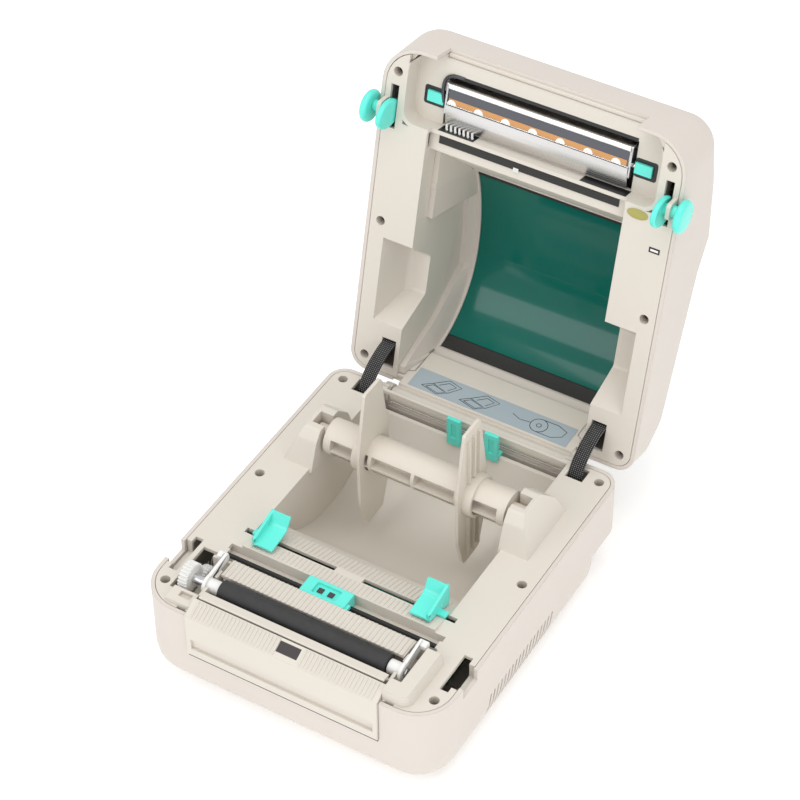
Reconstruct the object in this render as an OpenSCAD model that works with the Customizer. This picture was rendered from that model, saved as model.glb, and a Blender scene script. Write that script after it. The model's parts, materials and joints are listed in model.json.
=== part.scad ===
// Desktop direct thermal label printer, four inch class, with its lid open.
// Origin: on the table under the middle of the base. X to the right, Y to the rear, Z up.
// Lid parts are drawn closed over the base, and opened() swings them about the hinge.

/* [Body] */
// overall width of base and lid
body_w = 200; // [190:1:215]
// overall depth of base and lid
body_d = 224; // [216:1:240]
// height of the rim that the lid closes on
rim_z = 66; // [64:0.5:70]
// height of the feet under the case
foot_h = 3; // [2:0.5:5]
// wall thickness of the housings
wall = 2.5; // [2:0.1:3]
// radius of the front corners seen from above
corner_r = 25; // [18:1:30]
// radius of the rear corners seen from above
rear_r = 12; // [8:1:16]
// rounding along the bottom edge of the base
edge_r = 18; // [12:1:20]

/* [Lid] */
// how far the lid stands open
lid_open = 103.4; // [0:0.2:105]
// gap between the closed lid and the base rim
rim_gap = 0.4; // [0.3:0.1:1]
// hinge line, behind the middle
hinge_y = 114.6; // [114:0.1:116]
// hinge line, above the table
hinge_z = 56.5; // [55:0.5:58]
// radius of the hinge barrel
barrel_r = 5; // [4.5:0.1:5.5]
// radius of the hinge pins
pin_r = 2; // [1.5:0.1:2.5]
// half width of the window
window_x = 57.5; // [50:0.5:58]

/* [Label roll] */
// roll axis, behind the middle
roll_y = 44.7; // [44:0.1:46]
// roll axis, above the table
roll_z = 79; // [78:0.5:80]
// radius of the roll bay in the base
bay_r = 63; // [62:0.5:63.5]
// half width of the roll bay
bay_x = 66; // [64:0.5:67]
// radius of the roll spindle
spindle_r = 11.5; // [10:0.5:12.2]
// half height of the flanges that hold the roll
flange_h = 53; // [48:0.5:53.5]
// where each flange stands from the middle
flange_x = 34; // [16:0.5:52]

/* [Print path] */
// platen roller axis, ahead of the middle
platen_y = -86; // [-87:0.1:-85]
// platen roller axis, above the table
platen_z = 67.5; // [67:0.1:68]
// radius of the platen rubber
platen_r = 6.5; // [6:0.1:6.7]
// half length of the platen rubber
platen_x = 56; // [54:0.5:57]
// radius of the platen shaft
shaft_r = 3; // [2.5:0.1:3.2]
// outer face of each media guide from the middle
guide_x = 60; // [20:0.5:62]
// middle of the label sensor from the middle
sensor_x = -2.5; // [-40:0.5:40]
// axis of the latches, ahead of the middle
latch_y = -70.5; // [-71:0.1:-70]
// axis of the latches, above the table
latch_z = 62; // [61:0.1:63]

/* [Fits] */
// radial clearance of turning parts
turn_gap = 0.05; // [0.02:0.01:0.1]
// clearance of sliding parts
slide_gap = 0.3; // [0.1:0.05:0.5]

/* [Drawing] */
// facets of a full circle
facets = 64; // [48:8:96]
// part to draw

/* [Hidden] */
$fn = facets;

half_w = body_w / 2;
half_d = body_d / 2;
case_z = foot_h;
step_z = 29;                                 // underside of the rear overhang
step_y = half_d - 21.5;                        // rear face below the overhang
skin_gap = 0.3;                              // between the deck edge and the case wall
deck_x = half_w - wall - skin_gap;
deck_y = half_d - wall - skin_gap;
deck_low = rim_z - wall;
screw_x = 90;
screw_ys = [-94.3, 6, 101.5];
screw_tube_r = 5;
screw_hole_r = 3;
screw_drop = 8;                              // how deep the screw heads sit
screw_r = 1.5;
feed_x = 72.3;                               // half width of the print path opening
well_front = platen_y - 11;                  // roller well, front
well_rear = platen_y + 7.5;                  // roller well, rear
well_z = platen_z - 9.5;                     // roller well, floor
lip_z = 70.5;                                // ribbed plate behind the roller
rib_pitch = 3;
ramp_x = 65;                                 // half width of the ramp above the deck
channel_front = -65.3;                       // label sensor channel
channel_rear = -51;
channel_z = 60;
ramp = [[channel_rear, 68], [-36, 65.7], [-22, 60.5], [-13.2, 53]];
guide_y = -37.5;                             // slot that both guides slide in
guide_slot = [9.3, 71.3];
guide_wing = 13.6;
guide_front = -48.2;
guide_rear = -25.7;
guide_top = 79.5;
rack_z = 53.8;
rack_h = 4;
guide_pinion_r = 3.9;
bearing_x = 62.2;                            // inner face of the roller bearing walls
bearing_w = 2;
bushing_r = 4.4;
gear_x = 75.2;
gear_w = 6;
platen_gear_r = 9;
idler_r = 13;
pinion_r = 5;
mesh_gap = 0.4;                              // the tooth tips of neighbours stay apart
idler_at = [platen_y, platen_z] + (platen_gear_r + idler_r + mesh_gap) * [0.5, -0.866];
pinion_at = idler_at + (idler_r + pinion_r + mesh_gap) * [0.76, -0.65];
motor_r = 17.5;
bracket_x = [-73.4, -71.4];                  // plate that carries the motor and the idler
pilot_r = 9;
idler_bore = 2;
motor_bore = 1.5;
board_z = 8.6;
board_t = 1.6;
rail_at = [-58, 63.6];                       // rod that the label sensor slides on
rail_r = 1.5;
boss_in = 64.2;                              // spindle cradles
boss_out = 82;
boss_top = 89.5;
journal_r = 5;
spindle_x = 62;
rail_y = 100.8;                              // rail that the fan-fold guides ride on
rail_w = 3.5;
rail_z = 52.3;
rail_h = 2.8;
notch_x = 61.8;                              // room for the lid barrel in the rear wall
lug_w = 5.4;
platform_x = 81;
platform_z = rim_z + 3;
block_x = [71, 81.5];                        // tall block at the right end of the roller
block_rear = -66.5;
block_z = 74;
cover_x = 64.1;
cover_face = half_d + 1.3;
cover_low = 35.2;
cover_edge = rim_z + 1;
cover_back = -102.3;
cover_top = 72.2;
mouth_x = 65.5;                              // label exit in the lid front
mouth_z = 82;
recess_x = 83.5;                             // recess round the print head
recess_z = 79;
recess_front = -107;
recess_rear = -62;
head_x = 60.4;
head_front = -93.6;
head_rear = -72.6;
head_low = platen_z + platen_r + 0.2;
strip_z = 72;                                // cross piece that carries the upper sensor
strip_front = -61.5;
strip_rear = -50;
lid_low = rim_z + rim_gap;
lid_side_r = 20;                             // rounding over the lid sides
window_r = 61.2;                             // inner face of the window round the roll
window_t = 2.4;
brow_y = 45;                                 // the front part of the window is flatter
brow_z = 10;
brow_r = 130.3;
window_front = -20;
window_rear = 102;
window_lip = 1;                              // ledge under the edges of the window
window_side = 1.3;
cheek_x = bay_x + wall;
cheek_in = bay_x - 3.5;                      // foot of the cheeks beside the window
ledges = [[-45, 81], [0.9, 81], [1.1, 127.5], [30, 134], [56, 135.5], [82, 106], [101.8, 69.3], [109, 69.2]];
back_slope = [[109.2, 62], [window_rear - 1, 94.5]];     // wall behind the roll
lid_tops = [[-92, 99], [-64, 110], [-29, 118.5], [-8, 111], [88, 97]];
face_dir = unit([lid_tops[0][1] - lid_tops[1][1], lid_tops[1][0] - lid_tops[0][0]]);
face_mid = (lid_tops[0] + lid_tops[1]) / 2 + lid_side_r * face_dir;
button_x = 70;                               // feed button on the sloping front of the lid top
button_r = 6;
stem_r = 1.6;
lamp_x = 54;
pivot_at = [-80.45, recess_z + 0.7];         // print head pivot
pivot_r = 1.5;
bridge_z = 95;                               // bar over the print head that its springs push from
rocker_at = [step_y - 3.6, 19.8];
inlet_x = [-61.5, -48.5];
usb_x = [-34, -22];
nose_z = [14, 25];                           // sockets in the rear wall
rocker_tilt = 12;
slot_x = [88.2, 93.6];                       // latch slots
slot_y = [-85.5, -57];
hook_x = [88.8, 93];
axle_r = 3;
lever_x = [101.4, 106];
ear_x = [94.4, 97];
strap_x = [69.4, 81];

// ---- drawing helpers ----
module box(x, y, z) {
    translate([x[0], y[0], z[0]])
        cube([x[1] - x[0], y[1] - y[0], z[1] - z[0]]);
}

module both() {
    children();
    mirror([1, 0, 0])
        children();
}

module rod(r, x, y, z) {
    translate([x[0], y, z])
        rotate([0, 90, 0])
            cylinder(r = r, h = x[1] - x[0]);
}

// a drawing of the side view, drawn out along X
module side(x) {
    translate([x[0], 0, 0])
        rotate([90, 0, 90])
            linear_extrude(x[1] - x[0])
                children();
}

// a drawing of the front view, drawn out along Y
module front(y) {
    translate([0, y[1], 0])
        rotate([90, 0, 0])
            linear_extrude(y[1] - y[0])
                children();
}

function unit(v) = v / norm(v);

// the arc that rounds corner b of the path a-b-c
function arc(a, b, c, r, n) =
    let (u = unit(a - b), w = unit(c - b), half = acos(u * w) / 2, turn = 180 - 2 * half,
         o = b + unit(u + w) * r / sin(half), s = b + u * r / tan(half) - o,
         e = b + w * r / tan(half) - o)
    [for (i = [0:n]) o + (s * sin((1 - i / n) * turn) + e * sin(i / n * turn)) / sin(turn)];

// a polygon from points [u, v, rounding]
module rounded(points, steps = 6) {
    n = len(points);
    flat = [for (p = points) [p[0], p[1]]];
    polygon([for (i = [0:n - 1]) each points[i][2] == 0 ? [flat[i]]
        : arc(flat[(i + n - 1) % n], flat[i], flat[(i + 1) % n], points[i][2], steps)]);
}

// a strip of even thickness along a path
module band(path, t) {
    last = len(path) - 1;
    lift = [for (i = [0:last]) let (d = unit(path[min(i + 1, last)] - path[max(i - 1, 0)]))
        [-d[1], d[0]] * t / 2];
    polygon([for (i = [0:last]) path[i] + lift[i], for (i = [last:-1:0]) path[i] - lift[i]]);
}

// the outline of the housings seen from above
module plan(x, y, front_r, back_r) {
    outline(x, -y, y, front_r, back_r);
}

module outline(x, y0, y1, front_r, back_r) {
    rounded([[-x, y0, front_r], [x, y0, front_r], [x, y1, back_r], [-x, y1, back_r]], 8);
}

module square_from(a, b) {
    translate(a)
        square(b - a);
}

// the case as a solid, smaller by t on every side, with a rounded bottom edge
module case_block(t) {
    r = edge_r - t;
    hull()
        for (a = [0:18:90])
            let (in = t + r * (1 - cos(a)), low = case_z + edge_r - r * sin(a))
                translate([0, 0, low])
                    linear_extrude(a == 0 ? edge_r : 1)
                        outline(half_w - in, in - half_d, step_y - in, corner_r - in, edge_r - in + 0.1);
    translate([0, 0, step_z + t])
        linear_extrude(rim_z - step_z + (t > 0 ? 1 : -t))
            plan(half_w - t, half_d - t, corner_r - t, rear_r - t);
}

module slot_hook(z) {
    both()
        box(slot_x, slot_y, z);
}

// room for the ears of the lid in the deck, and for the latch axles in the rim of the case
module latch_notch() {
    both() {
        box([slot_x[1] - 0.1, deck_x + 0.1], [latch_y - 11, latch_y + 9], [latch_z - 6, rim_z + 1]);
        box([deck_x, half_w + 1], [latch_y - 9, latch_y + 7], [latch_z - axle_r - 1, rim_z + 1]);
    }
}

module screw_places() {
    for (s = [-1, 1], y = screw_ys)
        translate([s * screw_x, y, 0])
            children();
}

module barrel_room() {
    box([-notch_x, notch_x], [rail_y + 7, half_d + 9], [rail_z - 2.3, rim_z + 5]);
}

// ---- base ----
module lower_case() {
    color([0.90, 0.87, 0.84])
        difference() {
            union() {
                difference() {
                    case_block(0);
                    case_block(wall);
                }
                intersection() {
                    case_block(0);
                    case_posts();
                }
                both()
                    hinge_lug();
                rocker_ears();
            }
            screw_places()
                translate([0, 0, step_z + 4])
                    cylinder(r = screw_r, h = rim_z);
            box([-cover_x - slide_gap, cover_x + slide_gap], [-half_d - 1, 8 - half_d],
                [cover_low - slide_gap, rim_z + 1]);
            latch_notch();
            barrel_room();
            box([-58, 58], [half_d - wall - 1, half_d + 1], [38, 43]);
            both()
                rod(pin_r + turn_gap, [notch_x - 1, notch_x + lug_w], hinge_y, hinge_z);
            // the roll bay dips into the corner of the rear step
            side([-bay_x - wall - slide_gap, bay_x + wall + slide_gap])
                bay_outline(bay_r + wall + slide_gap);
            side_vents();
            rear_sockets();
            button_room();
        }
}

// posts under the screws and the main board
module case_posts() {
    screw_places()
        cylinder(r = 4, h = rim_z - screw_drop - wall);
    for (s = [-1, 1], y = [-34, 54])
        translate([s * 60, y, case_z + 1])
            cylinder(r = 3, h = board_z - case_z - 1);
}

module rocker_ears() {
    difference() {
        for (x = [[45.8, 47.7], [61.3, 63.2]])
            box(x, [rocker_at[0] - 3, step_y - wall + 0.5], [rocker_at[1] - 4, rocker_at[1] + 4]);
        rod(0.8 + turn_gap, [45, 64], rocker_at[0], rocker_at[1]);
    }
}

module hinge_lug() {
    rod(barrel_r + 1.2, [notch_x + 0.2, notch_x + lug_w], hinge_y, hinge_z);
    box([notch_x + 0.2, notch_x + lug_w], [half_d - wall, hinge_y],
        [hinge_z - barrel_r - 1.2, hinge_z + barrel_r + 1.2]);
}

module side_vents() {
    for (i = [0:17])
        translate([0, 4.3 * i - 49, 20])
            rotate([-18, 0, 0])
                both()
                    box([half_w - wall - 1, half_w + 1], [-0.8, 0.8], [-8, 9]);
}

module rear_sockets() {
    for (x = [inlet_x, usb_x])
        box([x[0] - slide_gap, x[1] + slide_gap], [step_y - 5, step_y + 1],
            [nose_z[0] - slide_gap, nose_z[1] + slide_gap]);
}

module button_room() {
    box([47.7, 61.3], [step_y - 8, step_y + 1], [rocker_at[1] - 7.6, rocker_at[1] + 7.6]);
}

module base_deck() {
    color([0.91, 0.88, 0.84])
        difference() {
            union() {
                deck_plate();
                print_path();
                roll_bay();
                spindle_cradles();
                rail_blocks();
                both()
                    box([slot_x[1], deck_x], [latch_y - 12.5, latch_y + 10.5], [latch_z - 7.5, rim_z - 1]);
                translate([0, guide_y, rack_z - 0.4])
                    cylinder(r = 1 - turn_gap, h = ramp[1][1] - rack_z - 1);
                screw_places()
                    translate([0, 0, rim_z - screw_drop - wall])
                        cylinder(r = screw_tube_r, h = screw_drop + 1);
            }
            screw_places()
                translate([0, 0, rim_z - screw_drop])
                    cylinder(r = screw_hole_r, h = 2 * screw_drop);
            screw_places()
                cylinder(r = screw_r, h = rim_z);
            both()
                side([boss_in - 1, boss_in + 8.5])
                    cradle_slot();
            slot_hook([deck_low - 1, rim_z + 1]);
            latch_notch();
            barrel_room();
            both()
                box(strap_x, [96.5, 107], [deck_low - 1, rim_z + 1]);
            both()
                box(guide_slot, [guide_y - 1.9, guide_y + 1.9], [channel_z, rim_z + 5]);
            rod(rail_r + 0.02, [-feed_x - 1, feed_x + 1], rail_at[0], rail_at[1]);
        }
}

// blocks that hold the ends of the sensor rail
module rail_blocks() {
    both()
        box([feed_x - 1.5, feed_x + wall], [rail_at[0] - 3, rail_at[0] + 3],
            [channel_z - 0.5, rim_z]);
}

module deck_plate() {
    difference() {
        translate([0, 0, deck_low])
            linear_extrude(wall)
                plan(deck_x, deck_y, corner_r - wall - skin_gap, rear_r - wall - skin_gap);
        box([-feed_x, feed_x], [-half_d, channel_rear + 12], [deck_low - 1, rim_z + 1]);
        box([-bay_x, bay_x], [channel_rear + 11, rail_y + 5], [deck_low - 1, rim_z + 1]);
        box([-85, 1 - feed_x], [well_front, -61.5], [deck_low - 1, rim_z + 1]);
        box([feed_x - 1, block_x[0] + 2], [well_front, -61.5], [deck_low - 1, rim_z + 1]);
    }
    raised_platform();
    tall_block();
}

// low block on the left of the front cover, with a small pocket in it
module raised_platform() {
    mirror([1, 0, 0])
        difference() {
            box([cover_x + 0.4, platform_x], [1.5 - deck_y, well_front], [deck_low, platform_z]);
            box([67, 75], [-103, -99], [rim_z + 0.5, platform_z + 1]);
        }
    both()
        box([cover_x + 0.4, cover_x + 2.4], [-deck_y + 0.3, well_front], [well_z, rim_z]);
}

// tall block on the right, along the end of the roller and round the corner of the cover
module tall_block() {
    intersection() {
        translate([0, 0, deck_low])
            linear_extrude(block_z - deck_low)
                rounded([[cover_x + 0.4, 1.2 - deck_y, 0], [block_x[1], 1.2 - deck_y, 7],
                    [block_x[1], block_rear, 4], [block_x[0], block_rear, 0], [block_x[0], well_front - 1, 0],
                    [cover_x + 0.4, well_front - 1, 0]]);
        front([-half_d, 0])
            polygon([[0, deck_low], [0, block_z], [block_x[1] - 2, block_z], [block_x[1], rim_z],
                [block_x[1], deck_low]]);
        side([0, half_w])
            polygon([[-half_d, deck_low], [-half_d, block_z], [block_rear - 2.5, block_z], [block_rear, rim_z],
                [block_rear, deck_low]]);
    }
}

module print_path() {
    // trough under the platen, with the bar that carries the tear edge
    side([-feed_x - wall, feed_x + wall])
        polygon([[well_front - 2, well_z - 2], [well_rear, well_z - 2], [well_rear, well_z],
            [well_front, well_z], [well_front, rim_z], [well_front - 2, rim_z]]);
    side([-bearing_x, bearing_x])
        square_from([well_front - 2, rim_z - 1], [well_front, lip_z + 1]);
    // ribbed plate, channel of the label sensor and ramp down to the roll
    side([-bearing_x + 0.7, bearing_x - 0.7])
        polygon([[well_rear, lip_z - 2], [channel_front, lip_z - 2], [channel_front, lip_z],
            [well_rear, lip_z]]);
    side([-feed_x - wall, feed_x + wall])
        polygon([[well_rear, well_z - 2], [well_rear, well_z], [channel_front - 2, well_z],
            [channel_front - 2, lip_z - 2], [channel_front, lip_z - 2], [channel_front, channel_z],
            [channel_rear, channel_z], [channel_rear, rim_z], [channel_rear + 2, rim_z],
            [channel_rear + 2, well_z - 2]]);
    side([-ramp_x, ramp_x])
        polygon([ramp[0], ramp[1], [ramp[1][0], rim_z - 2.6], [channel_rear, rim_z - 2.4]]);
    both()
        box([ramp_x - 1, feed_x + wall], [channel_rear, ramp[1][0]], [rim_z - 2.5, rim_z]);
    side([-bay_x - wall, bay_x + wall])
        polygon([ramp[1], ramp[2], ramp[3], ramp[3] - [0, 2.6], ramp[2] - [1, 3], [ramp[1][0], rim_z - 2.9]]);
    both()
        side([bay_x, feed_x + wall])
            polygon([[ramp[1][0], rim_z - 2.9], [ramp[1][0], rim_z], [ramp[3][0], rim_z],
                [ramp[3][0], ramp[3][1] - 2.6]]);
    both()
        bearing_wall();
    plate_ribs();
}

// wall with an open seat for the roller bushing
module bearing_wall() {
    difference() {
        side([bearing_x, bearing_x + bearing_w])
            polygon([[well_front - 1, well_z - 1], [well_front - 1, lip_z], [well_rear + 3, lip_z],
                [well_rear + 3, well_z - 1]]);
        side([bearing_x - 1, bearing_x + bearing_w + 1]) {
            translate([platen_y, platen_z])
                circle(bushing_r + turn_gap);
            square_from([platen_y - bushing_r - turn_gap, platen_z],
                [platen_y + bushing_r + turn_gap, lip_z + 1]);
        }
    }
}

module plate_ribs() {
    front_strip = [channel_rear + 0.8, guide_y - 3];
    rear_strip = [ramp[1][0] + 1, ramp[2][0] + 0.6];
    for (x = [-20 * rib_pitch:rib_pitch:20 * rib_pitch]) {
        box([x - 0.4, x + 0.4], [well_rear, channel_front], [lip_z - 0.1, lip_z + 0.45]);
        for (y = [front_strip, rear_strip])
            side([x - 0.4, x + 0.4])
                polygon([[y[0], lookup(y[0], ramp) - 0.8], [y[0], lookup(y[0], ramp) + 0.1],
                    [y[0] + 0.8, lookup(y[0] + 0.8, ramp) + 0.45], [y[1] - 0.8, lookup(y[1] - 0.8, ramp) + 0.45],
                    [y[1], lookup(y[1], ramp) + 0.1], [y[1], lookup(y[1], ramp) - 0.8]]);
    }
}

module bay_outline(r) {
    translate([roll_y, roll_z])
        circle(r, $fn = 128);
}

module roll_bay() {
    difference() {
        union() {
            // curved floor
            intersection() {
                side([-bay_x - wall, bay_x + wall])
                    bay_outline(bay_r + wall);
                box([-bay_x - wall, bay_x + wall], [ramp[3][0] - 3, rail_y + rail_w],
                    [case_z, rail_z - 2]);
            }
            // side walls up to the deck
            both()
                intersection() {
                    side([bay_x, bay_x + wall])
                        bay_outline(bay_r + wall);
                    box([bay_x, bay_x + wall], [ramp[3][0] - 3, half_d - 8], [case_z, rim_z - 1]);
                }
            box([-bay_x - 1, bay_x + 1], [rail_y, rail_y + rail_w], [rail_z - rail_h, rail_z]);
        }
        side([-bay_x, bay_x])
            bay_outline(bay_r);
        box([-bay_x, bay_x], [-half_d, roll_y - bay_r + 2], [ramp[3][1] + 0.2, rim_z]);
    }
}

module spindle_cradles() {
    both()
        intersection() {
            side([boss_in, boss_out + 4])
                rounded([[23, rim_z - wall, 0], [30, 83, 6], [35, boss_top, 3], [55, boss_top, 4],
                    [66, 79, 5], [72, rim_z - wall, 0]]);
            front([20, 75])
                rounded([[boss_in, rim_z - wall, 0], [boss_in, boss_top + 1, 0],
                    [boss_out - 7, boss_top + 1, 5], [boss_out + 3, rim_z - wall, 0]]);
        }
}

module cradle_slot() {
    translate([roll_y, roll_z])
        circle(journal_r + turn_gap);
    square_from([roll_y - journal_r - turn_gap, roll_z], [roll_y + journal_r + turn_gap, roll_z + 20]);
}

module front_cover() {
    color([0.91, 0.88, 0.84]) {
        difference() {
            side([-cover_x, cover_x])
                difference() {
                    polygon([[-cover_face, cover_low], [-cover_face, cover_edge],
                        [cover_back, cover_top], [cover_back, cover_low]]);
                    polygon([[3 - cover_face, cover_low - 1], [3 - cover_face, cover_edge - 2],
                        [cover_back + 1, cover_top - 2.6], [cover_back + 1, cover_low - 1]]);
                }
            box([3.1 - cover_x, cover_x - 3.1], [-cover_face - 1, 1.6 - cover_face], [40.8, 48.5]);
            side([-4.2, 9.7])
                translate([0, 0.05])
                    cover_pane(1.2, 3);
        }
        both()
            side([cover_x - 2.4, cover_x])
                polygon([[-cover_face + 2, cover_low], [-cover_face + 2, cover_edge - 1],
                    [cover_back, cover_top - 1], [cover_back, cover_low]]);
        for (i = [-24:24])
            if (i * 2.5 < -4.8 || i * 2.5 > 10.3)
                side([2.5 * i - 0.5, 2.5 * i + 0.5])
                    polygon([[0.8 - cover_face, cover_edge], [0.8 - cover_face, cover_edge + 0.75],
                        [cover_back - 1, cover_top + 0.1], [cover_back - 1, cover_top - 1]]);
    }
}

// a strip along the slope of the cover, from low under it to high over it
module cover_pane(low, high) {
    polygon([[-110.1, cover_edge + 1.35 - low], [-110.1, cover_edge + 1.35 + high],
        [cover_back - 1.7, cover_top - 0.75 + high], [cover_back - 1.7, cover_top - 0.75 - low]]);
}

module cover_window() {
    color([0.25, 0.22, 0.24])
        side([-4, 9.5])
            cover_pane(1.1, 0.1);
}

module tear_bar() {
    color([0.88, 0.86, 0.83])
        side([0.5 - bearing_x, bearing_x - 0.5])
            polygon([[well_front - 4.2, lip_z + 1], [well_front + 1.6, lip_z + 1],
                [well_front + 1.6, lip_z + 1.8], [well_front - 3.4, lip_z + 2.4],
                [well_front - 4.2, lip_z + 2]]);
}

module rubber_feet() {
    color([0.15, 0.15, 0.15])
        for (s = [-1, 1], y = [-86, 62])
            translate([s * 73, y, 0])
                cylinder(r = 7, h = foot_h);
}

module screw(z) {
    translate([0, 0, z]) {
        cylinder(r = screw_r - 0.1, h = 9);
        translate([0, 0, 9])
            difference() {
                cylinder(r = screw_hole_r - 0.4, h = 2);
                translate([-0.4, -1.8, 1])
                    cube([0.8, 3.6, 2]);
                translate([-1.8, -0.4, 1])
                    cube([3.6, 0.8, 2]);
            }
    }
}

module deck_screws() {
    color([0.45, 0.45, 0.47])
        screw_places()
            screw(rim_z - screw_drop - 9);
}

module sensor_rail() {
    color([0.75, 0.75, 0.77])
        rod(rail_r, [-feed_x - 1, feed_x + 1], rail_at[0], rail_at[1]);
}

module motor_bracket() {
    color([0.78, 0.78, 0.80]) {
        difference() {
            box(bracket_x, [pinion_at[0] - 23, pinion_at[0] + 18], [pinion_at[1] - motor_r, well_z - 2]);
            rod(pilot_r + 0.1, [bracket_x[0] - 1, bracket_x[1] + 1], pinion_at[0], pinion_at[1]);
        }
        box([bracket_x[1] - 1, -58], [pinion_at[0] - 23, -66], [well_z - 3.8, well_z - 2]);
        rod(idler_bore - turn_gap, [-gear_x - gear_w - 0.8, bracket_x[0] + 0.5], idler_at[0], idler_at[1]);
    }
}

module stepper_motor() {
    color([0.35, 0.35, 0.37])
        difference() {
            union() {
                box([bracket_x[1], -50], [pinion_at[0] - motor_r, pinion_at[0] + motor_r],
                    [pinion_at[1] - motor_r, pinion_at[1] + motor_r]);
                rod(pilot_r, [bracket_x[0] + 0.5, bracket_x[1] + 1], pinion_at[0], pinion_at[1]);
            }
            rod(motor_bore + turn_gap, [bracket_x[0], -60], pinion_at[0], pinion_at[1]);
        }
}

module main_board() {
    color([0.12, 0.42, 0.25])
        box([-66, 66], [-40, 78], [board_z, board_z + board_t]);
}

// a socket stands on the board and reaches through the rear wall
module socket(x) {
    box(x, [step_y - 14, step_y - 7.4], [board_z + board_t, 18]);
    box(x, [step_y - 7.8, step_y - 0.6], nose_z);
}

module dc_inlet() {
    color([0.10, 0.10, 0.10])
        difference() {
            socket(inlet_x);
            translate([(inlet_x[0] + inlet_x[1]) / 2, step_y, 19.5])
                rotate([90, 0, 0])
                    cylinder(r = 3.2, h = 7);
        }
}

module usb_port() {
    color([0.72, 0.72, 0.74])
        difference() {
            socket(usb_x);
            box([usb_x[0] + 2, usb_x[1] - 2], [step_y - 7, step_y], [16, 23]);
            box([usb_x[0] + 3, usb_x[1] - 3], [step_y - 7, step_y], [15, 24]);
        }
}

// rocker, pressed in at the bottom
module power_switch() {
    color([0.08, 0.08, 0.08]) {
        side([48, 61])
            translate(rocker_at)
                rotate(-rocker_tilt)
                    polygon([[-3, -3], [4.2, -6.1], [3, 0], [4.2, 6.1], [-3, 3]]);
        rod(0.8, [46.2, 62.8], rocker_at[0], rocker_at[1]);
    }
}

module hinge_pins() {
    color([0.72, 0.72, 0.74])
        both()
            rod(pin_r, [notch_x - 7, notch_x + lug_w + 0.6], hinge_y, hinge_z);
}

// ---- roller and gears ----
module platen_shaft() {
    color([0.75, 0.75, 0.77])
        rod(shaft_r, [-gear_x - gear_w - 2, 68], platen_y, platen_z);
}

module platen_rubber() {
    color([0.12, 0.12, 0.12])
        difference() {
            rod(platen_r, [-platen_x, platen_x], platen_y, platen_z);
            rod(shaft_r, [-platen_x - 1, platen_x + 1], platen_y, platen_z);
        }
}

module gear(r, teeth, bore, w) {
    difference() {
        union() {
            cylinder(r = r - 1.4, h = w);
            for (i = [0:teeth - 1])
                rotate(360 / teeth * i)
                    linear_extrude(w)
                        polygon([[r - 1.7, -0.75], [r, -0.3], [r, 0.3], [r - 1.7, 0.75]]);
        }
        translate([0, 0, -1])
            cylinder(r = bore, h = w + 2);
    }
}

module gear_at(x, at) {
    translate([x, at[0], at[1]])
        rotate([0, 90, 0])
            children();
}

module platen_gear() {
    color([0.93, 0.93, 0.92])
        gear_at(-gear_x - gear_w, [platen_y, platen_z])
            gear(platen_gear_r, 24, shaft_r, gear_w);
}

module idler_gear() {
    color([0.93, 0.93, 0.92])
        gear_at(-gear_x - gear_w, idler_at)
            gear(idler_r, 34, idler_bore, gear_w);
}

module motor_pinion() {
    color([0.80, 0.70, 0.40])
        gear_at(-gear_x - gear_w, pinion_at) {
            gear(pinion_r, 14, 1, gear_w);
            cylinder(r = motor_bore, h = gear_w + 13);
        }
}

module bushing() {
    difference() {
        union() {
            rod(bushing_r, [platen_x + 0.4, bearing_x + bearing_w + 2.6], platen_y, platen_z);
            side([bearing_x + bearing_w + 0.2, bearing_x + bearing_w + 2.4]) {
                translate([platen_y, platen_z])
                    circle(6.4);
                rounded([[platen_y - 1, platen_z + 1, 0], [platen_y + 1, platen_z + 6, 0],
                    [-66, 75.5, 1.5], [-64.5, 70.5, 1.5], [platen_y + 5, platen_z - 1, 0]]);
            }
            side([bearing_x + bearing_w + 0.2, bearing_x + bearing_w + 6])
                rounded([[-70, 70.6, 1], [-70, 74.8, 1], [-65.5, 75.4, 1], [-64.8, 71, 1]]);
        }
        rod(shaft_r + turn_gap, [platen_x, gear_x], platen_y, platen_z);
    }
}

module bushing_left() {
    color([0.95, 0.95, 0.94])
        mirror([1, 0, 0])
            bushing();
}

module bushing_right() {
    color([0.95, 0.95, 0.94])
        bushing();
}

// ---- media guides and sensor ----
module media_guide() {
    lift = 0.9;
    toe = [guide_front, ramp[0][1] + 1.6];
    bend = [-31.5, 71.8];
    top = [guide_rear - 0.7, guide_top];
    // outer wall
    side([guide_x - 2, guide_x])
        rounded([[guide_front, ramp[0][1] + lift, 0], [guide_front, ramp[0][1] + 6, 1.5],
            [guide_rear, guide_top, 0], [guide_rear, lookup(guide_rear, ramp) + lift, 0],
            [ramp[1][0], ramp[1][1] + lift, 0]]);
    // scoop that holds the label down and bends up at the rear
    side([guide_x - guide_wing, guide_x])
        band(concat([toe], arc(toe, bend, top, 6, 6), [top]), 1.4);
    box([guide_x - 2, guide_x + 5.5], [guide_y - 2.2, guide_y + 2.2],
        [ramp[1][1] + lift, ramp[1][1] + lift + 1.7]);
    box([guide_x - 2, guide_x + 4], [guide_y - 1.6, guide_y + 1.6], [rack_z, ramp[1][1] + lift + 1.7]);
}

module rack(y) {
    box([guide_x - 70, guide_x + 4], [y - 1.2, y + 1.2], [rack_z, rack_z + rack_h]);
}

module guide_left() {
    color([0.42, 0.93, 0.84])
        mirror([1, 0, 0]) {
            media_guide();
            rack(guide_y - guide_pinion_r - 1.6);
            box([guide_x - 2, guide_x + 4], [guide_y - guide_pinion_r - 2.8, guide_y],
                [rack_z, rack_z + rack_h]);
        }
}

module guide_right() {
    color([0.42, 0.93, 0.84]) {
        media_guide();
        rack(guide_y + guide_pinion_r + 1.6);
        box([guide_x - 2, guide_x + 4], [guide_y, guide_y + guide_pinion_r + 2.8],
            [rack_z, rack_z + rack_h]);
    }
}

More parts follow.
